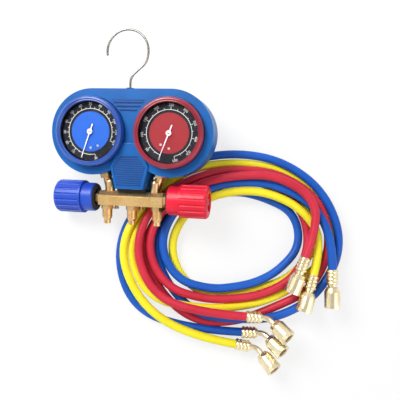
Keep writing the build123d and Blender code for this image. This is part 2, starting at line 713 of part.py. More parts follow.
def hose(colour, points):
    """A hose as straight runs joined by the largest tangent arcs that the runs allow."""
    corners = [Vector(*point) for point in points]
    runs = [b - a for a, b in zip(corners, corners[1:])]
    radii = []
    for before, after in zip(runs, runs[1:]):
        half_turn = math.radians(before.get_angle(after)) / 2
        radii.append(0.45 * min(before.length, after.length) / math.tan(half_turn))
    with BuildPart() as tube:
        with BuildLine() as route:
            FilletPolyline(*points, radius=radii)
        with BuildSketch(Plane(origin=corners[0], z_dir=runs[0])):
            Circle(hose_radius)
        sweep(path=route.wire())
    length = route.wire().length
    drawn = tube.part.volume / (math.pi * hose_radius ** 2 * length)
    print(colour, "hose length", round(length), "volume share", round(drawn, 4))
    print("  radii", [round(radius) for radius in radii])
    keep(colour + "_hose", tube.part, laid)


def hose_nut(name, out):
    """A hose nut: tapered shoulder, round body and a lobed rim; the plane stands on the neck."""
    back = neck_length - nut_wall / 2
    rim = back + nut_length - nut_rim_length
    with BuildPart() as nut:
        cone(out, back, back + nut_shoulder, nut_radius * 0.72, nut_radius)
        stack(out, [(back + nut_shoulder, rim, nut_radius)])
        with BuildSketch(out.offset(rim)):
            RegularPolygon(nut_radius + 0.3, 12)
        extrude(amount=nut_rim_length)
        stack(out, [(back, back + nut_wall, neck_radius + seat_gap)], Mode.SUBTRACT)
        stack(out, [(back + nut_wall, back + nut_length, thread_radius + seat_gap)], Mode.SUBTRACT)
        relief_end = back + nut_wall + 2 * seat_gap + tail_thick + gasket_thick + thin_gap
        relief_radius = thread_radius + seat_gap + relief_depth
        stack(out, [(back + nut_wall, relief_end, relief_radius)], Mode.SUBTRACT)
    keep(name, nut.part, laid)


def tail(out):
    """The neck and flared tail that hold a nut, and their bore."""
    flange = neck_length + nut_wall / 2 + seat_gap
    stack(out, [(0, flange + tail_thick, neck_radius), (flange, flange + tail_thick, tail_radius)])


def ferrule(out):
    """A crimped ferrule with four raised rings, from the hose's end to its plain neck."""
    pitch = ferrule_length / 4
    stack(out, [(0, ferrule_length, ferrule_radius - ring_depth)])
    for number in range(4):
        start = number * pitch + ring_gap / 2
        stack(out, [(start, start + pitch - ring_gap, ferrule_radius)])


def straight_end(name, tip, ahead):
    """A ferrule and a straight tail, pressed on a hose's end; gives the plane for its nut."""
    out = Plane(origin=tip, x_dir=(0, 0, 1), z_dir=ahead)
    nut_plane = out.offset(ferrule_length)
    with BuildPart() as end:
        ferrule(out)
        tail(nut_plane)
        stack(out, [(0, ferrule_length + 2 * neck_length + tail_thick, port_bore_radius)], Mode.SUBTRACT)
    keep(name, end.part, laid)
    return nut_plane


def bent_end(name, tip, ahead):
    """A ferrule and a pipe bent to one side and a little up; gives the plane for its nut."""
    flat_side = ahead.cross(Vector(0, 0, 1)).normalized()
    up = flat_side.cross(ahead).normalized()
    rise = math.radians(bend_rise)
    side = flat_side * math.cos(rise) + up * math.sin(rise)
    out = Plane(origin=tip, x_dir=side, z_dir=ahead)
    turn = math.radians(bend_angle)
    bend_start = out.offset(ferrule_length + bend_lead)
    bend_centre = bend_start.origin + bend_start.x_dir * bend_radius
    bend_end = (bend_centre - bend_start.x_dir * bend_radius * math.cos(turn)
                + bend_start.z_dir * bend_radius * math.sin(turn))
    leaving = bend_start.x_dir * math.sin(turn) + bend_start.z_dir * math.cos(turn)
    nut_plane = Plane(origin=bend_end, x_dir=out.y_dir, z_dir=leaving)
    with BuildPart() as end:
        ferrule(out)
        stack(out, [(ferrule_length, ferrule_length + bend_lead, neck_radius)])
        with BuildSketch(bend_start) as pipe:
            Circle(neck_radius)
        revolve(pipe.sketch, axis=Axis(bend_centre, out.y_dir), revolution_arc=bend_angle)
        tail(nut_plane)
        stack(nut_plane, [(0, 2 * neck_length + tail_thick, port_bore_radius)], Mode.SUBTRACT)
    keep(name, end.part, laid)
    return nut_plane


nut_planes = []
for colour, points in routes.items():
    hose(colour, points)
    ends = [Vector(*point) for point in points]
    bent_plane = bent_end(colour + "_bent_end", ends[0], (ends[0] - ends[1]).normalized())
    straight_plane = straight_end(colour + "_straight_end", ends[-1], (ends[-1] - ends[-2]).normalized())
    hose_nut(colour + "_bent_nut", bent_plane)
    hose_nut(colour + "_straight_nut", straight_plane)
    nut_planes += [bent_plane, straight_plane]

with BuildPart() as hose_gaskets:
    for plane in nut_planes:
        start = neck_length + nut_wall / 2 + seat_gap + tail_thick + thin_gap
        with Locations(plane.offset(start)):
            Cylinder(gasket_radius, gasket_thick, align=ON_BASE)
            Cylinder(port_bore_radius, gasket_thick, align=ON_BASE, mode=Mode.SUBTRACT)
keep("hose_gaskets", hose_gaskets.part, laid)

# ---------------------------------------------------------------- files
for name, piece in pieces.items():
    lying = home * tilt * piece
    lying.label = name
    export_step(lying, "parts/" + name + ".step")
for name, piece in laid.items():
    export_step(piece, "parts/" + name + ".step")
for plane in nut_planes:
    print("nut", [round(v, 2) for v in plane.origin], [round(v, 4) for v in plane.z_dir])
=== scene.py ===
import bmesh
import bpy
import json
import math
from mathutils import Matrix, Vector


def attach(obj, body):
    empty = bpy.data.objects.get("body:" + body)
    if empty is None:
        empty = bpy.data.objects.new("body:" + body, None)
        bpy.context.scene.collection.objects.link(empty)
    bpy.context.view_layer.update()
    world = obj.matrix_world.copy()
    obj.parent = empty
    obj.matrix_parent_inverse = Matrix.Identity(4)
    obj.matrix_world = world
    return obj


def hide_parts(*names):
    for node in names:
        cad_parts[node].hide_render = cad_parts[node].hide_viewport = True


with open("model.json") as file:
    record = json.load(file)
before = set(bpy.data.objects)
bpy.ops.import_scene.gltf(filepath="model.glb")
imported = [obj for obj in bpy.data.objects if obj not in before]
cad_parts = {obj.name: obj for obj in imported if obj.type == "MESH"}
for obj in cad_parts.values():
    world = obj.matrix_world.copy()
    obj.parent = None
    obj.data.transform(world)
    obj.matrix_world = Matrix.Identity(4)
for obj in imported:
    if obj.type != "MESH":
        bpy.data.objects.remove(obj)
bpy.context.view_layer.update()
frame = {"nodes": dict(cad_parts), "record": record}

scene = bpy.context.scene
scene.view_settings.view_transform = "Standard"

# ---------------------------------------------------------------- the table that the set lies on
# A plain pale table under soft daylight, seen from nearly straight above.
# Nothing here belongs to the set.
viewpoint = bpy.data.objects.new("viewpoint", bpy.data.cameras.new("viewpoint"))
viewpoint.data.lens = 42.3
viewpoint.data.sensor_width = 36.0
viewpoint.data.clip_start = 0.02
viewpoint.location = (0.07501, -0.10934, 0.5760)
looked_at = Vector((0.07501, -0.07916, 0.0))
looking = looked_at - viewpoint.location
viewpoint.rotation_euler = looking.to_track_quat("-Z", "Y").to_euler()
scene.collection.objects.link(viewpoint)
scene.camera = viewpoint


def shine(name, place, target, size, watts):
    """A square soft light aimed at a point."""
    lamp = bpy.data.lights.new(name, "AREA")
    lamp.shape = "SQUARE"
    lamp.size = size
    lamp.energy = watts
    holder = bpy.data.objects.new(name, lamp)
    holder.location = place
    aim = Vector(target) - holder.location
    holder.rotation_euler = aim.to_track_quat("-Z", "Y").to_euler()
    scene.collection.objects.link(holder)


shine("window", place=(-0.45, 0.45, 0.85), target=(0.05, -0.1, 0.0), size=0.5, watts=10.0)
shine("bounce", place=(0.75, -0.65, 0.8), target=(0.08, -0.1, 0.0), size=0.9, watts=3.2)


def combined(tree, operation, first, second):
    """Two numbers put together in a Math node; the second may be a plain value."""
    node = tree.nodes.new("ShaderNodeMath")
    node.operation = operation
    tree.links.new(first, node.inputs[0])
    if isinstance(second, float):
        node.inputs[1].default_value = second
    else:
        tree.links.new(second, node.inputs[1])
    return node.outputs[0]


def mixed(tree, share, first, second):
    """Two shaders blended: the first where the share is 0, the second where it is 1."""
    node = tree.nodes.new("ShaderNodeMixShader")
    for source, socket in zip((share, first, second), node.inputs):
        tree.links.new(source, socket)
    return node.outputs[0]


# The room is white where it is looked at, also through a gauge's window. Shiny surfaces mirror
# a gradient that darkens overhead, and all else is lit by an even grey.
room = bpy.data.worlds.new("pale_room")
scene.world = room
room.use_nodes = True
air = room.node_tree
air.nodes.clear()
white = (1.0, 1.0, 1.0, 1.0)


def background(strength):
    """White light from all round the room."""
    node = air.nodes.new("ShaderNodeBackground")
    node.inputs["Color"].default_value = white
    node.inputs["Strength"].default_value = strength
    return node


rays = air.nodes.new("ShaderNodeLightPath")
under_one_bounce = 0.5
bounces = combined(air, "ADD", rays.outputs["Diffuse Depth"], rays.outputs["Glossy Depth"])
unbounced = combined(air, "LESS_THAN", bounces, under_one_bounce)
through_glass = combined(air, "MULTIPLY", rays.outputs["Is Transmission Ray"], unbounced)
seen = combined(air, "MAXIMUM", rays.outputs["Is Camera Ray"], through_glass)
direction = air.nodes.new("ShaderNodeTexCoord")
upward = air.nodes.new("ShaderNodeSeparateXYZ")
air.links.new(direction.outputs["Generated"], upward.inputs[0])
sky = air.nodes.new("ShaderNodeMapRange")
sky.inputs["From Min"].default_value = 0.25
sky.inputs["From Max"].default_value = 0.92
sky.inputs["To Min"].default_value = 1.0
sky.inputs["To Max"].default_value = 0.52
air.links.new(upward.outputs["Z"], sky.inputs["Value"])
plain = background(strength=1.0)
even = background(strength=0.56)
mirrored = background(strength=1.0)
air.links.new(sky.outputs["Result"], mirrored.inputs["Strength"])
unseen = mixed(air, rays.outputs["Is Glossy Ray"], even.outputs[0], mirrored.outputs[0])
room_output = air.nodes.new("ShaderNodeOutputWorld")
air.links.new(mixed(air, seen, unseen, plain.outputs[0]), room_output.inputs["Surface"])

table_top = bmesh.new()
bmesh.ops.create_grid(table_top, x_segments=1, y_segments=1, size=12.0)
table_mesh = bpy.data.meshes.new("table")
table_top.to_mesh(table_mesh)
table_top.free()
table = bpy.data.objects.new("table", table_mesh)
scene.collection.objects.link(table)
table_paint = bpy.data.materials.new("table_paint")
table_paint.use_nodes = True
board = table_paint.node_tree
matt = board.nodes["Principled BSDF"]
matt.inputs["Base Color"].default_value = (0.90, 0.90, 0.91, 1.0)
matt.inputs["Roughness"].default_value = 0.9
lit = board.nodes.new("ShaderNodeEmission")
lit.inputs["Color"].default_value = white
board_rays = board.nodes.new("ShaderNodeLightPath")
looked_upon = combined(board, "MAXIMUM", board_rays.outputs["Is Camera Ray"],
                      board_rays.outputs["Is Transmission Ray"])
lit_share = 0.74
board_skin = mixed(board, combined(board, "MULTIPLY", looked_upon, lit_share),
                   matt.outputs[0], lit.outputs[0])
board.links.new(board_skin, board.nodes["Material Output"].inputs["Surface"])
table_mesh.materials.append(table_paint)


# ---------------------------------------------------------------- charging hoses
# Three rubber hoses 10 mm thick, coiled together in one loose heap. Each is extruded over
# braid, with a smooth satin cover in its side's colour, and is crimped at both ends.
def effect(name, inputs, outputs):
    """A node group with named sockets, and its two end nodes."""
    group = bpy.data.node_groups.new(name, "ShaderNodeTree")
    for label, kind, value in inputs:
        socket = group.interface.new_socket(label, in_out="INPUT",
                                            socket_type="NodeSocket" + kind)
        socket.default_value = value
    for label, kind in outputs:
        group.interface.new_socket(label, in_out="OUTPUT", socket_type="NodeSocket" + kind)
    return group, group.nodes.new("NodeGroupInput"), group.nodes.new("NodeGroupOutput")


def two_colours(group, share, first, second):
    """Two colours of an effect blended: the first where the share is 0."""
    node = group.nodes.new("ShaderNodeMix")
    node.data_type = "RGBA"
    factor, colour_a, colour_b, result = 0, 6, 7, 2
    group.links.new(share, node.inputs[factor])
    group.links.new(first, node.inputs[colour_a])
    group.links.new(second, node.inputs[colour_b])
    return node.outputs[result]


def mottled(name, patch_scale, patch_detail, grain_detail):
    """Uneven colour and gloss in soft patches, and a fine grain over them."""
    group, given, put_out = effect(
        name,
        [("Colour", "Color", (0.5, 0.5, 0.5, 1)), ("Shade", "Color", (0.4, 0.4, 0.4, 1)),
         ("Grain", "Float", 900.0), ("Smoothest", "Float", 0.3), ("Roughest", "Float", 0.5)],
        [("Colour", "Color"), ("Roughness", "Float"), ("Height", "Float")],
    )
    where = group.nodes.new("ShaderNodeTexCoord")
    patches = group.nodes.new("ShaderNodeTexNoise")
    patches.inputs["Scale"].default_value = patch_scale
    patches.inputs["Detail"].default_value = patch_detail
    grain = group.nodes.new("ShaderNodeTexNoise")
    grain.inputs["Detail"].default_value = grain_detail
    group.links.new(where.outputs["Object"], patches.inputs["Vector"])
    group.links.new(where.outputs["Object"], grain.inputs["Vector"])
    group.links.new(given.outputs["Grain"], grain.inputs["Scale"])
    spread = group.nodes.new("ShaderNodeMapRange")
    spread.inputs["From Min"].default_value = 0.35
    spread.inputs["From Max"].default_value = 0.68
    group.links.new(patches.outputs["Fac"], spread.inputs["Value"])
    tint = two_colours(group, spread.outputs["Result"], given.outputs["Colour"],
                       given.outputs["Shade"])
    gloss = group.nodes.new("ShaderNodeMapRange")
    gloss.inputs["From Min"].default_value = 0.3
    gloss.inputs["From Max"].default_value = 0.7
    group.links.new(grain.outputs["Fac"], gloss.inputs["Value"])
    group.links.new(given.outputs["Smoothest"], gloss.inputs["To Min"])
    group.links.new(given.outputs["Roughest"], gloss.inputs["To Max"])
    group.links.new(tint, put_out.inputs["Colour"])
    group.links.new(gloss.outputs["Result"], put_out.inputs["Roughness"])
    group.links.new(grain.outputs["Fac"], put_out.inputs["Height"])
    return group


def patterned(name, group, bump, depth):
    """A finish that takes colour, gloss and relief from an effect; also its two main nodes."""
    material = bpy.data.materials.new(name)
    material.use_nodes = True
    tree = material.node_tree
    skin = tree.nodes["Principled BSDF"]
    pattern = tree.nodes.new("ShaderNodeGroup")
    pattern.node_tree = group
    relief = tree.nodes.new("ShaderNodeBump")
    relief.inputs["Strength"].default_value = bump
    relief.inputs["Distance"].default_value = depth
    tree.links.new(pattern.outputs["Colour"], skin.inputs["Base Color"])
    tree.links.new(pattern.outputs["Roughness"], skin.inputs["Roughness"])
    tree.links.new(pattern.outputs["Height"], relief.inputs["Height"])
    tree.links.new(relief.outputs["Normal"], skin.inputs["Normal"])
    return material, skin, pattern


def coated(name, group, colour, shade, grain, gloss, bump, metallic=0.0, coat=0.0, mirror=0.3):
    """A mottled finish: gloss is its smoothest and roughest, grain the fineness of its relief."""
    material, skin, pattern = patterned(name, group, bump, depth=0.0002)
    pattern.inputs["Colour"].default_value = (*colour, 1.0)
    pattern.inputs["Shade"].default_value = (*shade, 1.0)
    pattern.inputs["Grain"].default_value = grain
    pattern.inputs["Smoothest"].default_value, pattern.inputs["Roughest"].default_value = gloss
    skin.inputs["Metallic"].default_value = metallic
    skin.inputs["Specular IOR Level"].default_value = mirror
    skin.inputs["Coat Weight"].default_value = coat
    skin.inputs["Coat Roughness"].default_value = 0.12
    return material


def dress(material, *names):
    """Give solids of the set their finish."""
    for name in names:
        mesh = frame["nodes"][name].data
        mesh.materials.clear()
        mesh.materials.append(material)


def new_piece(name, shape, material, body, place):
    """Make a finished shape a piece of the set, laid where it belongs."""
    sharp_edge = math.radians(34)
    bmesh.ops.transform(shape, matrix=place, verts=shape.verts)
    mesh = bpy.data.meshes.new(name)
    shape.to_mesh(mesh)
    shape.free()
    mesh.polygons.foreach_set("use_smooth", [True] * len(mesh.polygons))
    mesh.set_sharp_from_angle(angle=sharp_edge)
    mesh.materials.append(material)
    piece = bpy.data.objects.new(name, mesh)
    scene.collection.objects.link(piece)
    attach(piece, body)
    return piece


def lathe(profile, steps=72):
    """Turn a closed profile of (radius, height) points, in millimetres, about the Z axis."""
    shape = bmesh.new()
    corners = [shape.verts.new((radius / 1000, 0.0, height / 1000))
               for radius, height in profile]
    lines = [shape.edges.new(pair) for pair in zip(corners, corners[1:] + corners[:1])]
    bmesh.ops.spin(shape, geom=corners + lines, cent=(0, 0, 0), axis=(0, 0, 1), dvec=(0, 0, 0),
                   angle=math.tau, steps=steps, use_merge=True, use_normal_flip=False,
                   use_duplicate=False, space=Matrix.Identity(4))
    bmesh.ops.remove_doubles(shape, verts=shape.verts, dist=0.000001)
    bmesh.ops.recalc_face_normals(shape, faces=shape.faces)
    return shape


def aimed(place, along):
    """Where a turned shape stands, and the direction that its heights run in."""
    return Matrix.Translation(place) @ along.to_track_quat("Z", "Y").to_matrix().to_4x4()


extruded = mottled("extruded_cover", patch_scale=26.0, patch_detail=3.0, grain_detail=2.0)
turned = mottled("turned_brass_skin", patch_scale=60.0, patch_detail=5.0, grain_detail=1.0)
pale_brass = coated("pale_brass", turned, (0.96, 0.86, 0.60), (0.86, 0.72, 0.44), grain=2600.0,
                    gloss=(0.20, 0.34), bump=0.10, metallic=1.0)
groove_brass = coated("groove_brass", turned, (0.62, 0.50, 0.28), (0.50, 0.38, 0.20),
                      grain=2600.0, gloss=(0.30, 0.44), bump=0.10, metallic=1.0)


def crimp(name, tip, before_tip, collar_end):
    """Four rolled rings and a collar over a hose's end; millimetres along the ferrule."""
    hose_bore, pipe_bore, collar = 5.2, 3.3, 4.9
    collar_start, hose_bore_end, chamfer = 17.2, 16.9, 0.4
    first_ring, ring_pitch = 0.35, 4.25
    ring = ((5.75, 0.0), (6.55, 0.55), (6.95, 1.75), (6.55, 2.95), (5.75, 3.5))
    profile = [(hose_bore, 0.0)]
    for number in range(4):
        foot = number * ring_pitch + first_ring
        profile += [(radius, foot + height) for radius, height in ring]
    profile += [(collar, collar_start), (collar, collar_end - chamfer),
                (collar - chamfer, collar_end), (pipe_bore, collar_end),
                (pipe_bore, hose_bore_end), (hose_bore, hose_bore_end)]
    place = aimed(tip, (Vector(tip) - Vector(before_tip)).normalized())
    return new_piece(name, lathe(profile, steps=48), pale_brass, "manifold", place)


def hose(colour_name, points, colour, shade):
    """One coiled hose on its own line, with both crimped ends and nuts on it."""
    bent_collar_end, straight_collar_end = 18.8, 20.1
    line = bpy.data.curves.new(colour_name + "_cover", "CURVE")
    line.dimensions = "3D"
    run = line.splines.new("NURBS")
    run.points.add(len(points) - 1)
    for point, place in zip(run.points, points):
        point.co = (*place, 1.0)
    run.order_u = 3
    run.use_endpoint_u = True
    run.resolution_u = 10
    line.bevel_depth = 0.005
    line.bevel_resolution = 5
    line.use_fill_caps = True
    cover = bpy.data.objects.new(colour_name + "_cover", line)
    scene.collection.objects.link(cover)
    line.materials.append(coated(colour_name + "_cover", extruded, colour, shade, grain=1400.0,
                                 gloss=(0.34, 0.48), bump=0.12))
    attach(cover, "manifold")
    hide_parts(colour_name + "_hose")
    on_it = [frame["nodes"][colour_name + part]
             for part in ("_bent_end", "_bent_nut", "_straight_end", "_straight_nut")]
    on_it.append(crimp(colour_name + "_bent_crimp", points[0], points[1], bent_collar_end))
    on_it.append(crimp(colour_name + "_straight_crimp", points[-1], points[-2],
                       straight_collar_end))


hose("blue", [
    (0.1245, -0.2371, 0.008), (0.0605, -0.2344, 0.006), (-0.0085, -0.2082, 0.006),
    (-0.028, -0.1346, 0.006), (0.01, -0.0702, 0.007), (0.0595, -0.0311, 0.0095),
    (0.119, -0.0221, 0.012), (0.177, -0.0336, 0.0145), (0.2255, -0.0722, 0.0165),
    (0.2455, -0.1346, 0.0165), (0.2155, -0.1917, 0.0165), (0.168, -0.2192, 0.0159),
    (0.1195, -0.2207, 0.017), (0.0715, -0.2167, 0.0102), (0.036, -0.1822, 0.007),
    (0.0185, -0.1351, 0.0065), (0.039, -0.0912, 0.006), (0.084, -0.0752, 0.0055),
    (0.119, -0.0682, 0.006), (0.153, -0.0762, 0.0065), (0.1895, -0.0947, 0.0075),
    (0.196, -0.1351, 0.0085), (0.1695, -0.1642, 0.0095), (0.143, -0.1777, 0.0115),
    (0.118, -0.1832, 0.013), (0.088, -0.1857, 0.015), (0.0475, -0.1746, 0.017),
    (0.0265, -0.1346, 0.0165), (0.043, -0.0912, 0.0165), (0.081, -0.0668, 0.0165),
    (0.119, -0.0582, 0.018), (0.1615, -0.0606, 0.0205), (0.207, -0.0837, 0.0225),
    (0.2285, -0.1227, 0.0293), (0.228, -0.1612, 0.029),
], colour=(0.008, 0.115, 0.560), shade=(0.006, 0.085, 0.440))
hose("yellow", [
    (0.1165, -0.2501, 0.0125), (0.058, -0.2387, 0.0165), (0.002, -0.2006, 0.016),
    (-0.023, -0.1346, 0.0155), (0.014, -0.0752, 0.015), (0.064, -0.0406, 0.013),
    (0.119, -0.0336, 0.0105), (0.173, -0.0416, 0.0085), (0.222, -0.0752, 0.0065),
    (0.2395, -0.1337, 0.0065), (0.1965, -0.1792, 0.007), (0.156, -0.1996, 0.01),
    (0.1185, -0.2067, 0.014), (0.0755, -0.2077, 0.0209), (0.012, -0.1962, 0.015),
    (-0.013, -0.1346, 0.0125), (0.022, -0.0811, 0.0095), (0.0665, -0.0507, 0.008),
    (0.115, -0.0432, 0.007), (0.1685, -0.0507, 0.006), (0.207, -0.0862, 0.0055),
    (0.217, -0.1361, 0.0055), (0.184, -0.1736, 0.0055), (0.148, -0.1857, 0.0055),
    (0.1185, -0.1927, 0.0055), (0.084, -0.1942, 0.006), (0.052, -0.1741, 0.006),
    (0.0385, -0.1351, 0.0095), (0.054, -0.0987, 0.0125), (0.084, -0.0767, 0.0155),
    (0.1185, -0.0687, 0.018), (0.155, -0.0707, 0.0205), (0.1955, -0.0902, 0.0225),
    (0.219, -0.1272, 0.0245), (0.2065, -0.1676, 0.028),
], colour=(0.930, 0.850, 0.030), shade=(0.880, 0.760, 0.020))
hose("red", [
    (0.128, -0.2152, 0.028), (0.0725, -0.2102, 0.0314), (0.0195, -0.1907, 0.0255),
    (-0.003, -0.1346, 0.0225), (0.022, -0.0787, 0.02), (0.07, -0.0512, 0.018),
    (0.119, -0.0427, 0.017), (0.17, -0.0481, 0.0165), (0.218, -0.0787, 0.016),
    (0.231, -0.1346, 0.019), (0.208, -0.1862, 0.0133), (0.164, -0.2082, 0.008),
    (0.1175, -0.2262, 0.0055), (0.067, -0.2252, 0.0055), (0.0245, -0.1887, 0.0055),
    (0.004, -0.1351, 0.0055), (0.031, -0.0857, 0.006), (0.074, -0.0597, 0.007),
    (0.118, -0.0541, 0.008), (0.163, -0.0611, 0.0095), (0.1985, -0.0907, 0.0115),
    (0.206, -0.1356, 0.0139), (0.1865, -0.1726, 0.0162), (0.151, -0.1912, 0.016),
    (0.118, -0.1967, 0.0165), (0.08, -0.1973, 0.017), (0.0335, -0.1827, 0.0178),
    (0.0105, -0.1346, 0.017), (0.0325, -0.0842, 0.016), (0.0745, -0.0601, 0.022),
    (0.1175, -0.0512, 0.0265), (0.166, -0.0517, 0.03), (0.209, -0.0806, 0.034),
    (0.2075, -0.1192, 0.034), (0.1965, -0.1472, 0.033),
], colour=(0.680, 0.030, 0.062), shade=(0.560, 0.020, 0.046))


# ---------------------------------------------------------------- hose ends and nuts
# Pale brass, turned from bar: a ferrule crimped in four rings, a neck or a bent pipe, and a
# free-turning flare nut whose open mouth is threaded. A black rubber gasket seals each nut.
for colour_name in ("blue", "yellow", "red"):
    dress(pale_brass, *[colour_name + part for part in
                        ("_bent_end", "_straight_end", "_bent_nut", "_straight_nut")])
# Black rubber for the gaskets and seals. The same dark colour is painted shade on the packing
# under the housing and on the knob washers.
rubber_and_painted_shade = coated("rubber_and_painted_shade", extruded, (0.02, 0.02, 0.022), (0.035, 0.035, 0.035),
                       grain=2200.0, gloss=(0.55, 0.75), bump=0.2)
dress(rubber_and_painted_shade, "hose_gaskets", "hook_bush", "low_valve_seal", "high_valve_seal")
thread_pitch = 1.27


def threaded(root, crest, wall, start, end, steps):
    """A sleeve with a screw thread's ridges on one side of it, in millimetres."""
    points = [(root, start)]
    for number in range(round((end - start) / thread_pitch)):
        base = start + number * thread_pitch
        for radius, share in ((root, 0.12), (crest, 0.42), (crest, 0.58), (root, 0.88)):
            points.append((radius, base + share * thread_pitch))
    return lathe(points + [(root, end), (wall, end), (wall, start)], steps=steps)


for mount in frame["record"]["mounts"]:
    if mount["name"].endswith("_nut_thread"):
        nut = mount["name"].removesuffix("_thread")
        thread = threaded(root=5.9, crest=5.45, wall=6.4, start=-7.5, end=8.0, steps=40)
        new_piece(nut + "_thread", thread, groove_brass, nut,
                  aimed(mount["pos_m"], Vector(mount["axis"])))


# ---------------------------------------------------------------- valve bar and its ports
# A square brass bar with a planed front plate and a long bevel, three flare connectors
# screwed in below it and three short pegs that park the hose nuts.
bar_middle = (-0.003193, -0.079342, 0.033686)
swing, tilt, roll = -3.3, -10.0, 8.0

# The set lies tipped over the coil: lie takes the bar's own axes, x along it and y towards
# the hook, to that place.
lie = (Matrix.Translation(bar_middle)
       @ Matrix.Rotation(math.radians(swing), 4, "Z")
       @ Matrix.Rotation(math.radians(tilt), 4, "Y")
       @ Matrix.Rotation(math.radians(roll), 4, "X"))
# The packing is a dark strip between the housing's boss and the bar. It is painted shade,
# standing where shade falls in the gap between them.
shade_packing_place, shade_packing_size = (0.0, 0.0098, -0.0010), (0.0330, 0.0034, 0.0150)
shade_packing = bmesh.new()
bmesh.ops.create_cube(shade_packing, size=1.0, matrix=Matrix.Translation(shade_packing_place)
                      @ Matrix.Diagonal((*shade_packing_size, 1)))
bmesh.ops.bevel(shade_packing, geom=shade_packing.edges[:], offset=0.0005, segments=2, profile=0.5,
                affect="EDGES", material=-1)
new_piece("painted_shade_packing", shade_packing, rubber_and_painted_shade, "manifold", lie)
bar_brass = coated("bar_brass", turned, (0.98, 0.66, 0.29), (0.86, 0.54, 0.21), grain=1500.0,
                   gloss=(0.24, 0.42), bump=0.22, metallic=1.0)
turned_brass = coated("turned_brass", turned, (0.92, 0.62, 0.30), (0.76, 0.46, 0.20),
                      grain=2400.0, gloss=(0.22, 0.38), bump=0.14, metallic=1.0)
peg_brass = coated("peg_brass", turned, (0.62, 0.36, 0.20), (0.48, 0.26, 0.13), grain=2400.0,
                   gloss=(0.28, 0.46), bump=0.14, metallic=1.0)
dress(bar_brass, "manifold_bar")
dress(peg_brass, "hose_hangers")
dress(turned_brass, "port_low", "port_service", "port_high", "low_valve_bonnet",
      "high_valve_bonnet", "low_gauge_socket", "high_gauge_socket", "low_movement",
      "high_movement", "low_sector_gear", "high_sector_gear", "low_pinion", "high_pinion",
      "low_bourdon_tube", "high_bourdon_tube", "low_valve_piston", "high_valve_piston")
bar_underside = -0.008
for name, x in (("low", -0.030), ("service", 0.0), ("high", 0.030)):
    thread = threaded(root=5.50, crest=5.82, wall=5.2, start=5.4, end=14.8, steps=48)
    down = (lie @ Matrix.Translation((x, bar_underside, 0))
            @ Matrix.Rotation(math.radians(90), 4, "X"))
    new_piece("port_" + name + "_thread", thread, turned_brass, "manifold", down)


# ---------------------------------------------------------------- hand valves
# Two moulded knobs on steel stems, blue on the suction side and red on the pressure side,
# each held by a cross-head screw in its end. A black washer at each knob's inner face is painted
# shade: its dark ring stands for the shade that falls on that face.
steel = coated("turned_steel", turned, (0.58, 0.58, 0.60), (0.46, 0.46, 0.48), grain=2600.0,
               gloss=(0.22, 0.36), bump=0.1, metallic=1.0)
moulded = mottled("moulded_skin", patch_scale=34.0, patch_detail=4.0, grain_detail=2.0)
blue_plastic = coated("blue_knob_plastic", moulded, (0.022, 0.088, 0.590),
                      (0.016, 0.066, 0.480), grain=1900.0, gloss=(0.26, 0.40), bump=0.20,
                      mirror=0.4)
red_plastic = coated("red_knob_plastic", moulded, (0.850, 0.012, 0.046), (0.700, 0.008, 0.034),
                     grain=1900.0, gloss=(0.26, 0.40), bump=0.20, mirror=0.4)
dress(steel, "low_valve_stem", "high_valve_stem", "low_knob_screw", "high_knob_screw",
      "housing_screws", "dial_screws")
dress(blue_plastic, "low_knob")
dress(red_plastic, "high_knob")
# Black washer at each knob's inner face: painted shade, a dark ring where that face lies in
# shadow.
shade_washer_bore, shade_washer_foot, shade_washer_top = 9.2, 42.7, 43.5
for side, name in ((-1, "low"), (1, "high")):
    outward = lie @ Matrix.Rotation(math.radians(90 * side), 4, "Y")
    shade_washer = lathe([(shade_washer_bore, shade_washer_foot), (14.6, shade_washer_foot), (15.4, 43.0),
                    (15.6, shade_washer_top), (shade_washer_bore, shade_washer_top)])
    new_piece(name + "_knob_shade_washer", shade_washer, rubber_and_painted_shade, name + "_knob",
              outward)


# ---------------------------------------------------------------- housing
# Two blue moulded shells screwed together round both gauges. The front has a ribbed panel on
# its boss and a small crest of three grooves between the dials; the grooves are drawn as dark
# bars, painted shade.
housing_plastic = coated("housing_plastic", moulded, (0.002, 0.126, 0.450),
                         (0.002, 0.100, 0.370), grain=2200.0, gloss=(0.30, 0.46), bump=0.25)
# Darker plastic for the boss ribs. On the crest's bars the same colour is painted shade of the
# grooves.
rib_plastic_and_groove_shade = coated("rib_plastic_and_groove_shade", moulded, (0.003, 0.066, 0.285), (0.002, 0.052, 0.230),
                     grain=2200.0, gloss=(0.36, 0.52), bump=0.25)
dress(housing_plastic, "housing_front", "housing_back")


def bar_between(shape, half_width, y, z, height, thickness):
    """Add a bar with rounded long edges, centred on x = 0, in millimetres."""
    rounding = 0.35 * min(height, thickness) / 1000
    runs_along_x = 0.001
    box = Matrix.Translation((0, y / 1000, z / 1000)) @ Matrix.Diagonal(
        (2 * half_width / 1000, height / 1000, thickness / 1000, 1))
    made = bmesh.ops.create_cube(shape, size=1.0, matrix=box)
    edges = {edge for vert in made["verts"] for edge in vert.link_edges
             if abs(edge.verts[0].co.x - edge.verts[1].co.x) > runs_along_x}
    bmesh.ops.bevel(shape, geom=list(edges), offset=rounding, segments=2, profile=0.5,
                    affect="EDGES", material=-1)


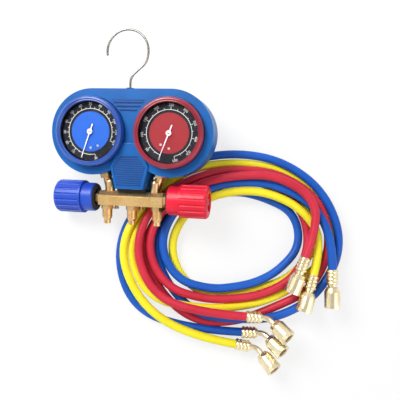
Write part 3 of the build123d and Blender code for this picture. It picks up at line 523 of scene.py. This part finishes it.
panel_foot, panel_shoulder, panel_top = 14.7, 37.5, 49.0
foot_half, shoulder_half, top_half = 13.0, 18.8, 9.6
first_rib, rib_pitch, side_gap = 16.4, 2.4, 0.5
ribs = bmesh.new()
for number in range(14):
    rib_y = first_rib + number * rib_pitch
    if rib_y < panel_shoulder:
        up = (rib_y - panel_foot) / (panel_shoulder - panel_foot)
        half = foot_half + up * (shoulder_half - foot_half)
    else:
        up = (rib_y - panel_shoulder) / (panel_top - panel_shoulder)
        half = shoulder_half - up * (shoulder_half - top_half)
    bar_between(ribs, half - side_gap, y=rib_y, z=14.25, height=1.5, thickness=0.7)
new_piece("boss_ribs", ribs, rib_plastic_and_groove_shade, "manifold", lie)

# The crest's three grooves, drawn as dark bars: painted shade where the grooves lie in shadow.
crest = bmesh.new()
for y, half in ((108.8, 17.2), (104.6, 13.6), (100.4, 10.0)):
    bar_between(crest, half, y=y, z=11.95, height=2.6, thickness=0.9)
crest_groove_shade_offset = Matrix.Translation((-0.003, 0, 0))
new_piece("crest_groove_shade_bars", crest, rib_plastic_and_groove_shade, "manifold", lie @ crest_groove_shade_offset)


# ---------------------------------------------------------------- gauges
# Two 80 mm dial gauges in black enamelled cases behind clear windows. Both dials are printed
# black with a coloured middle; the suction dial also reads 32 degrees below its zero.
enamel = coated("case_enamel", moulded, (0.018, 0.018, 0.020), (0.03, 0.03, 0.032),
                grain=2000.0, gloss=(0.25, 0.40), bump=0.15, coat=0.2)
dress(enamel, "low_gauge_case", "high_gauge_case")
ink = coated("dial_ink", extruded, (0.60, 0.60, 0.56), (0.50, 0.50, 0.46), grain=3000.0,
             gloss=(0.55, 0.7), bump=0.05)
needle = coated("needle_lacquer", extruded, (0.80, 0.76, 0.84), (0.70, 0.66, 0.76),
                grain=3000.0, gloss=(0.35, 0.45), bump=0.05)


def stamped_needle(zero, reach, tail):
    """A thin tapered needle with its hub ring, pointing at the dial's zero; in millimetres."""
    hub, height, thickness, edge_rounding = 2.6, 17.35, 0.5, 0.12
    broad, fine = 0.62, 0.24
    shape = lathe([(1.5, 17.0), (3.0, 17.0), (3.1, 17.6), (3.0, 18.6), (2.6, 19.0), (2.0, 18.9),
                   (1.7, 18.5), (1.5, 18.5)], steps=40)
    turned_to = Matrix.Rotation(math.radians(zero), 4, "Z")
    for start, end, half, tip_half in ((hub, reach, broad, fine), (-tail, -hub, broad, broad)):
        middle = (start + end) / 2000
        bar = Matrix.Translation((middle, 0, height / 1000)) @ Matrix.Diagonal(
            ((end - start) / 1000, 2 * half / 1000, thickness / 1000, 1))
        made = bmesh.ops.create_cube(shape, size=1.0, matrix=bar)
        for vert in made["verts"]:
            if vert.co.x > middle:
                vert.co.y *= tip_half / half
        edges = {edge for vert in made["verts"] for edge in vert.link_edges}
        rounded = bmesh.ops.bevel(shape, geom=list(edges), offset=edge_rounding / 1000,
                                  segments=1, profile=0.5, affect="EDGES", material=-1)
        bmesh.ops.transform(shape, matrix=turned_to, verts=rounded["verts"])
    return shape


dial_rings, given, put_out = effect(
    "dial_rings",
    [("Vector", "Vector", (0, 0, 0)), ("Middle", "Color", (0.5, 0.5, 0.5, 1)),
     ("Outer", "Color", (0.01, 0.01, 0.02, 1))],
    [("Colour", "Color"), ("Roughness", "Float"), ("Height", "Float")],
)
flat = dial_rings.nodes.new("ShaderNodeVectorMath")
flat.operation = "MULTIPLY"
flat.inputs[1].default_value = (1.0, 1.0, 0.0)
from_middle = dial_rings.nodes.new("ShaderNodeVectorMath")
from_middle.operation = "LENGTH"
dial_rings.links.new(given.outputs["Vector"], flat.inputs[0])
dial_rings.links.new(flat.outputs["Vector"], from_middle.inputs[0])
rim_of_middle = dial_rings.nodes.new("ShaderNodeMapRange")
rim_of_middle.inputs["From Min"].default_value = 0.0222
rim_of_middle.inputs["From Max"].default_value = 0.0225
dial_rings.links.new(from_middle.outputs["Value"], rim_of_middle.inputs["Value"])
inked = dial_rings.nodes.new("ShaderNodeTexNoise")
inked.inputs["Scale"].default_value = 1600.0
inked.inputs["Detail"].default_value = 2.0
dial_rings.links.new(given.outputs["Vector"], inked.inputs["Vector"])
dull = dial_rings.nodes.new("ShaderNodeMapRange")
dull.inputs["To Min"].default_value = 0.42
dull.inputs["To Max"].default_value = 0.62
dial_rings.links.new(inked.outputs["Fac"], dull.inputs["Value"])
rings = two_colours(dial_rings, rim_of_middle.outputs["Result"], given.outputs["Middle"],
                    given.outputs["Outer"])
dial_rings.links.new(rings, put_out.inputs["Colour"])
dial_rings.links.new(dull.outputs["Result"], put_out.inputs["Roughness"])
dial_rings.links.new(inked.outputs["Fac"], put_out.inputs["Height"])


def print_dial(name, seat, middle):
    """Finish a dial plate with its coloured middle and dark outer band."""
    material, skin, pattern = patterned(name + "_dial_print", dial_rings, bump=0.05,
                                        depth=0.0001)
    pattern.inputs["Middle"].default_value = (*middle, 1.0)
    pattern.inputs["Outer"].default_value = (0.006, 0.006, 0.011, 1.0)
    skin.inputs["Specular IOR Level"].default_value = 0.2
    tree = material.node_tree
    where = tree.nodes.new("ShaderNodeTexCoord")
    centred = tree.nodes.new("ShaderNodeMapping")
    centred.vector_type = "TEXTURE"
    centred.inputs["Location"].default_value = seat.to_translation()
    centred.inputs["Rotation"].default_value = seat.to_euler()
    tree.links.new(where.outputs["Object"], centred.inputs["Vector"])
    tree.links.new(centred.outputs["Vector"], pattern.inputs["Vector"])
    dress(material, name + "_dial")


def printed_scale(zero, end, step, below, labels):
    """Arc, graduations and numbers of a dial, in millimetres; angles run clockwise from zero."""
    arc_inside, arc_outside, print_foot, print_top = 25.4, 25.95, 15.82, 15.9
    mark_start, mark_width, long_mark, short_mark = 25.9, 0.48, 2.9, 1.4
    mark_height, mark_thickness = 15.86, 0.08
    figure_radius, figure_height, figure_size, figure_thickness = 30.6, 15.88, 4.0, 0.04
    turned_over_below = -0.45
    marks = bmesh.new()
    top = math.radians(zero + below)
    sweep = math.radians(end + below)
    line = [marks.verts.new((radius / 1000 * math.cos(top), radius / 1000 * math.sin(top),
                             height / 1000))
            for radius, height in ((arc_inside, print_foot), (arc_outside, print_foot),
                                   (arc_outside, print_top), (arc_inside, print_top))]
    section = marks.faces.new(line)
    bmesh.ops.spin(marks, geom=[section, *section.edges, *line], cent=(0, 0, 0),
                   axis=(0, 0, -1), dvec=(0, 0, 0), angle=sweep, steps=96, use_merge=False,
                   use_normal_flip=False, use_duplicate=False, space=Matrix.Identity(4))
    turns = [(step * number / 2, long_mark if number % 2 == 0 else short_mark)
             for number in range(round(2 * end / step) + 1)]
    if below:
        turns.append((-below, long_mark))
    for turn, length in turns:
        box = (Matrix.Rotation(math.radians(zero - turn), 4, "Z")
               @ Matrix.Translation(((mark_start + length / 2) / 1000, 0, mark_height / 1000))
               @ Matrix.Diagonal((length / 1000, mark_width / 1000, mark_thickness / 1000, 1)))
        bmesh.ops.create_cube(marks, size=1.0, matrix=box)
    for turn, words in labels:
        letters = bpy.data.curves.new("figures", "FONT")
        letters.body = words
        letters.size = figure_size / 1000
        letters.extrude = figure_thickness / 1000
        letters.align_x = "CENTER"
        letters.align_y = "CENTER"
        holder = bpy.data.objects.new("figures", letters)
        scene.collection.objects.link(holder)
        bpy.context.view_layer.update()
        figure = bpy.data.meshes.new_from_object(holder.evaluated_get(
            bpy.context.evaluated_depsgraph_get()))
        angle = zero - turn
        upright = -90 if math.sin(math.radians(angle)) > turned_over_below else 90
        figure.transform(Matrix.Rotation(math.radians(angle), 4, "Z")
                         @ Matrix.Translation((figure_radius / 1000, 0, figure_height / 1000))
                         @ Matrix.Rotation(math.radians(upright), 4, "Z"))
        marks.from_mesh(figure)
        bpy.data.objects.remove(holder)
        bpy.data.curves.remove(letters)
        bpy.data.meshes.remove(figure)
    bmesh.ops.recalc_face_normals(marks, faces=marks.faces)
    return marks


window_glass = bpy.data.materials.new("window_glass")
window_glass.use_nodes = True
pane = window_glass.node_tree
clear = pane.nodes["Principled BSDF"]
clear.inputs["Base Color"].default_value = (0.97, 0.98, 0.99, 1.0)
clear.inputs["Roughness"].default_value = 0.03
clear.inputs["IOR"].default_value = 1.06
clear.inputs["Transmission Weight"].default_value = 1.0
let_through = pane.nodes.new("ShaderNodeBsdfTransparent")
pane_rays = pane.nodes.new("ShaderNodeLightPath")
pane_skin = mixed(pane, pane_rays.outputs["Is Shadow Ray"], clear.outputs[0],
                  let_through.outputs[0])
pane.links.new(pane_skin, pane.nodes["Material Output"].inputs["Surface"])
dress(window_glass, "low_lens", "high_lens")

hub_brass = coated("hub_brass", turned, (0.80, 0.52, 0.24), (0.70, 0.36, 0.18), grain=3000.0,
                   gloss=(0.2, 0.3), bump=0.05, metallic=1.0)
dial_out, dial_up = 0.0455, 0.075
stem_out, stem_up = 18.5, 67.0
lean = math.degrees(math.atan2(stem_out, stem_up))


def dial_gauge(name, side, zero, end, step, below, labels, middle, rim, rim_shade,
               reach, tail):
    """Dial print, bezel ring, needle and hub cap of one gauge, in the plane of its dial."""
    seat = (lie @ Matrix.Translation((side * dial_out, dial_up, 0))
            @ Matrix.Rotation(math.radians(-side * lean), 4, "Z"))
    print_dial(name, seat, middle)
    marks = printed_scale(zero, end, step, below, labels)
    new_piece(name + "_dial_marks", marks, ink, "manifold", seat)
    bezel_plastic = coated(name + "_bezel_plastic", moulded, rim, rim_shade, grain=2400.0,
                           gloss=(0.14, 0.24), bump=0.06, coat=0.25, mirror=0.5)
    ring = lathe([(39.0, 11.0), (39.0, 21.4), (38.7, 22.6), (38.0, 23.4), (37.0, 23.9),
                  (36.3, 23.95), (35.7, 23.6), (35.4, 23.0), (35.1, 22.95), (34.8, 23.3),
                  (34.3, 23.4), (33.8, 23.1), (33.4, 22.4), (33.3, 21.8), (37.3, 21.8),
                  (37.3, 11.0)], steps=120)
    bezel = new_piece(name + "_bezel_ring", ring, bezel_plastic, "manifold",
                      seat)
    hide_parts(name + "_bezel")
    pointer = new_piece(name + "_needle", stamped_needle(zero, reach, tail), needle,
                        name + "_pointer", seat)
    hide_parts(name + "_pointer")
    on_axis = 0.0001
    cap = lathe([(on_axis, 19.1), (0.9, 19.0), (1.4, 18.7), (1.5, 18.2), (on_axis, 18.2)],
                steps=32)
    new_piece(name + "_pointer_cap", cap, hub_brass, name + "_pointer", seat)


dial_gauge("low", side=-1, zero=-124.5, end=274.0, step=274.0 / 12,
           below=32.0, labels=[(-32, "30"), *[(number * 274.0 / 12, str(number * 10))
                                              for number in range(13)]],
           middle=(0.010, 0.082, 0.400), rim=(0.026, 0.095, 0.430),
           rim_shade=(0.018, 0.070, 0.340), reach=31.0, tail=9.0)
dial_gauge("high", side=1, zero=-95.3, end=325.0, step=32.5,
           below=0.0, labels=[(number * 32.5, str(number * 50)) for number in range(11)],
           middle=(0.235, 0.014, 0.018), rim=(0.340, 0.016, 0.040),
           rim_shade=(0.250, 0.011, 0.028), reach=28.5, tail=9.5)


# ---------------------------------------------------------------- hanging hook
# Chromed spring wire bent to an open loop, for hanging the set up. Its shank swivels in a
# bush at the housing's top.
chrome = coated("chrome_wire", turned, (0.34, 0.32, 0.29), (0.24, 0.22, 0.20), grain=2800.0,
                gloss=(0.18, 0.28), bump=0.06, metallic=1.0)
dress(chrome, "hook")
